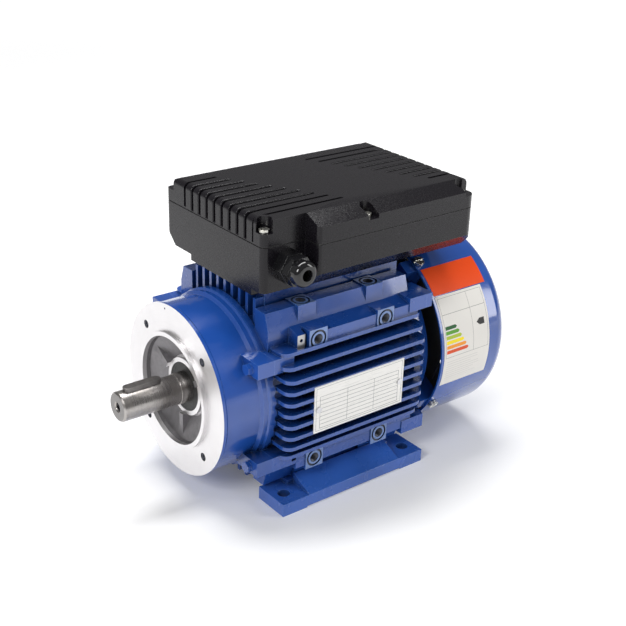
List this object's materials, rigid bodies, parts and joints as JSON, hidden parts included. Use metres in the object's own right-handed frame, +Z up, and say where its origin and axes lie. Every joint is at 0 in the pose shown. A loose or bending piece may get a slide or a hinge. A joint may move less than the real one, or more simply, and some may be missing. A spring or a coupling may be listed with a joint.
{
  "type": "electric motor",
  "caption": "Fan-cooled single-phase capacitor motor with finned housing, face flange, keyed shaft, bolt-on feet, fan cowl and a large top box for capacitors and terminals.",
  "frame": {"origin": "centre of the flange's mounting face on the shaft axis", "axes": "+X leaves the drive end along the shaft, +Z is up, +Y is the side the nameplate and the cable gland are on"},
  "size_m": [0.335, 0.1738, 0.238],
  "materials": {
    "painted_castings": "gloss blue enamel",
    "painted_shields": "gloss blue enamel",
    "painted_cowl": "gloss blue enamel",
    "painted_feet": "gloss blue enamel",
    "zinc_screws": "zinc plated",
    "core_steel": "laminated",
    "turned_steel": "turned",
    "key_steel": "drawn",
    "bearing_steel": "ground",
    "cage_brass": "stamped",
    "cast_aluminium": "as cast",
    "wedge_board": "insulating board",
    "main_copper": "enamelled wire",
    "start_copper": "enamelled wire",
    "lead_sleeve": "sleeved wire",
    "seal_rubber": "matte",
    "spring_steel": "spring",
    "fan_plastic": "moulded",
    "collar_nylon": "moulded",
    "weight_steel": "stamped",
    "switch_board": "laminate",
    "contact_bronze": "spring bronze",
    "box_plastic": "fine texture",
    "gasket_rubber": "matte",
    "gland_plastic": "moulded",
    "capacitor_black": "moulded",
    "capacitor_white": "moulded",
    "strap_steel": "zinc plated",
    "board_plastic": "moulded",
    "terminal_brass": "turned",
    "plate_metal": "printed plate",
    "rivet_aluminium": "set",
    "label_film": "printed film",
    "orange_film": "printed film"
  },
  "bodies": {
    "housing": {"frame": "painted_castings", "drive_end_shield": "painted_shields", "rear_end_shield": "painted_shields", "fan_cowl": "painted_cowl", "left_foot": "painted_feet", "right_foot": "painted_feet", "foot_screws": "zinc_screws", "drive_end_screws": "zinc_screws", "rear_end_screws": "zinc_screws", "cowl_screws": "zinc_screws", "stator_core": "core_steel", "slot_wedges": "wedge_board", "main_winding": "main_copper", "start_winding": "start_copper", "winding_leads": "lead_sleeve", "shaft_seal": "seal_rubber", "preload_washer": "spring_steel", "front_bearing_outer": "bearing_steel", "rear_bearing_outer": "bearing_steel", "switch_plate": "switch_board", "terminal_box_base": "box_plastic", "terminal_box_lid": "box_plastic", "lid_gasket": "gasket_rubber", "base_gasket": "gasket_rubber", "lid_screws": "zinc_screws", "base_screws": "zinc_screws", "gland_body": "gland_plastic", "gland_seal": "seal_rubber", "gland_nut": "gland_plastic", "gland_locknut": "gland_plastic", "start_capacitor": "capacitor_black", "run_capacitor": "capacitor_white", "capacitor_straps": "strap_steel", "terminal_board": "board_plastic", "terminal_studs": "terminal_brass", "terminal_nuts": "terminal_brass", "terminal_links": "terminal_brass", "earth_screw": "terminal_brass", "nameplate": "plate_metal", "nameplate_rivets": "rivet_aluminium", "efficiency_label": "label_film", "orange_label": "orange_film"},
    "rotor": {"shaft": "turned_steel", "shaft_key": "key_steel", "rotor_core": "core_steel", "rotor_cage": "cast_aluminium", "front_bearing_inner": "bearing_steel", "rear_bearing_inner": "bearing_steel", "fan": "fan_plastic", "fan_circlip": "spring_steel", "governor_hub": "weight_steel"},
    "front_ball_set": {"front_bearing_cage": "cage_brass", "front_bearing_balls": "bearing_steel"},
    "rear_ball_set": {"rear_bearing_cage": "cage_brass", "rear_bearing_balls": "bearing_steel"},
    "governor_collar": {"governor_collar": "collar_nylon"},
    "governor_weight_upper": {"governor_weight_upper": "weight_steel"},
    "governor_weight_lower": {"governor_weight_lower": "weight_steel"},
    "switch_arm": {"switch_arm": "contact_bronze"}
  },
  "joints": [
    {"name": "rotor_spin", "type": "hinge", "parent": "housing", "child": "rotor", "pos_m": [0, 0, 0], "axis": [1, 0, 0], "continuous": true},
    {"name": "front_balls_spin", "type": "hinge", "parent": "housing", "child": "front_ball_set", "pos_m": [-0.0265, 0, 0], "axis": [1, 0, 0], "continuous": true},
    {"name": "rear_balls_spin", "type": "hinge", "parent": "housing", "child": "rear_ball_set", "pos_m": [-0.2023, 0, 0], "axis": [1, 0, 0], "continuous": true},
    {"name": "weight_upper_swing", "type": "hinge", "parent": "rotor", "child": "governor_weight_upper", "pos_m": [-0.1843, 0.02275, 0.0045], "axis": [-1, 0, 0], "range_deg": [0, 8]},
    {"name": "weight_lower_swing", "type": "hinge", "parent": "rotor", "child": "governor_weight_lower", "pos_m": [-0.1843, -0.02275, -0.0045], "axis": [-1, 0, 0], "range_deg": [0, 8]},
    {"name": "collar_slide", "type": "slide", "parent": "rotor", "child": "governor_collar", "axis": [1, 0, 0], "range_m": [0, 0.002]},
    {"name": "switch_arm_tilt", "type": "hinge", "parent": "housing", "child": "switch_arm", "pos_m": [-0.1904, 0, 0.042], "axis": [0, -1, 0], "range_deg": [0, 6]}
  ],
  "couplings": [
    {"joint": "front_balls_spin", "follows": "rotor_spin", "ratio": 0.3974},
    {"joint": "rear_balls_spin", "follows": "rotor_spin", "ratio": 0.3974},
    {"joint": "weight_lower_swing", "follows": "weight_upper_swing", "ratio": 1},
    {"joint": "collar_slide", "follows": "weight_upper_swing", "m_per_rad": 0.01432},
    {"joint": "switch_arm_tilt", "follows": "weight_upper_swing", "ratio": 0.75}
  ]
}
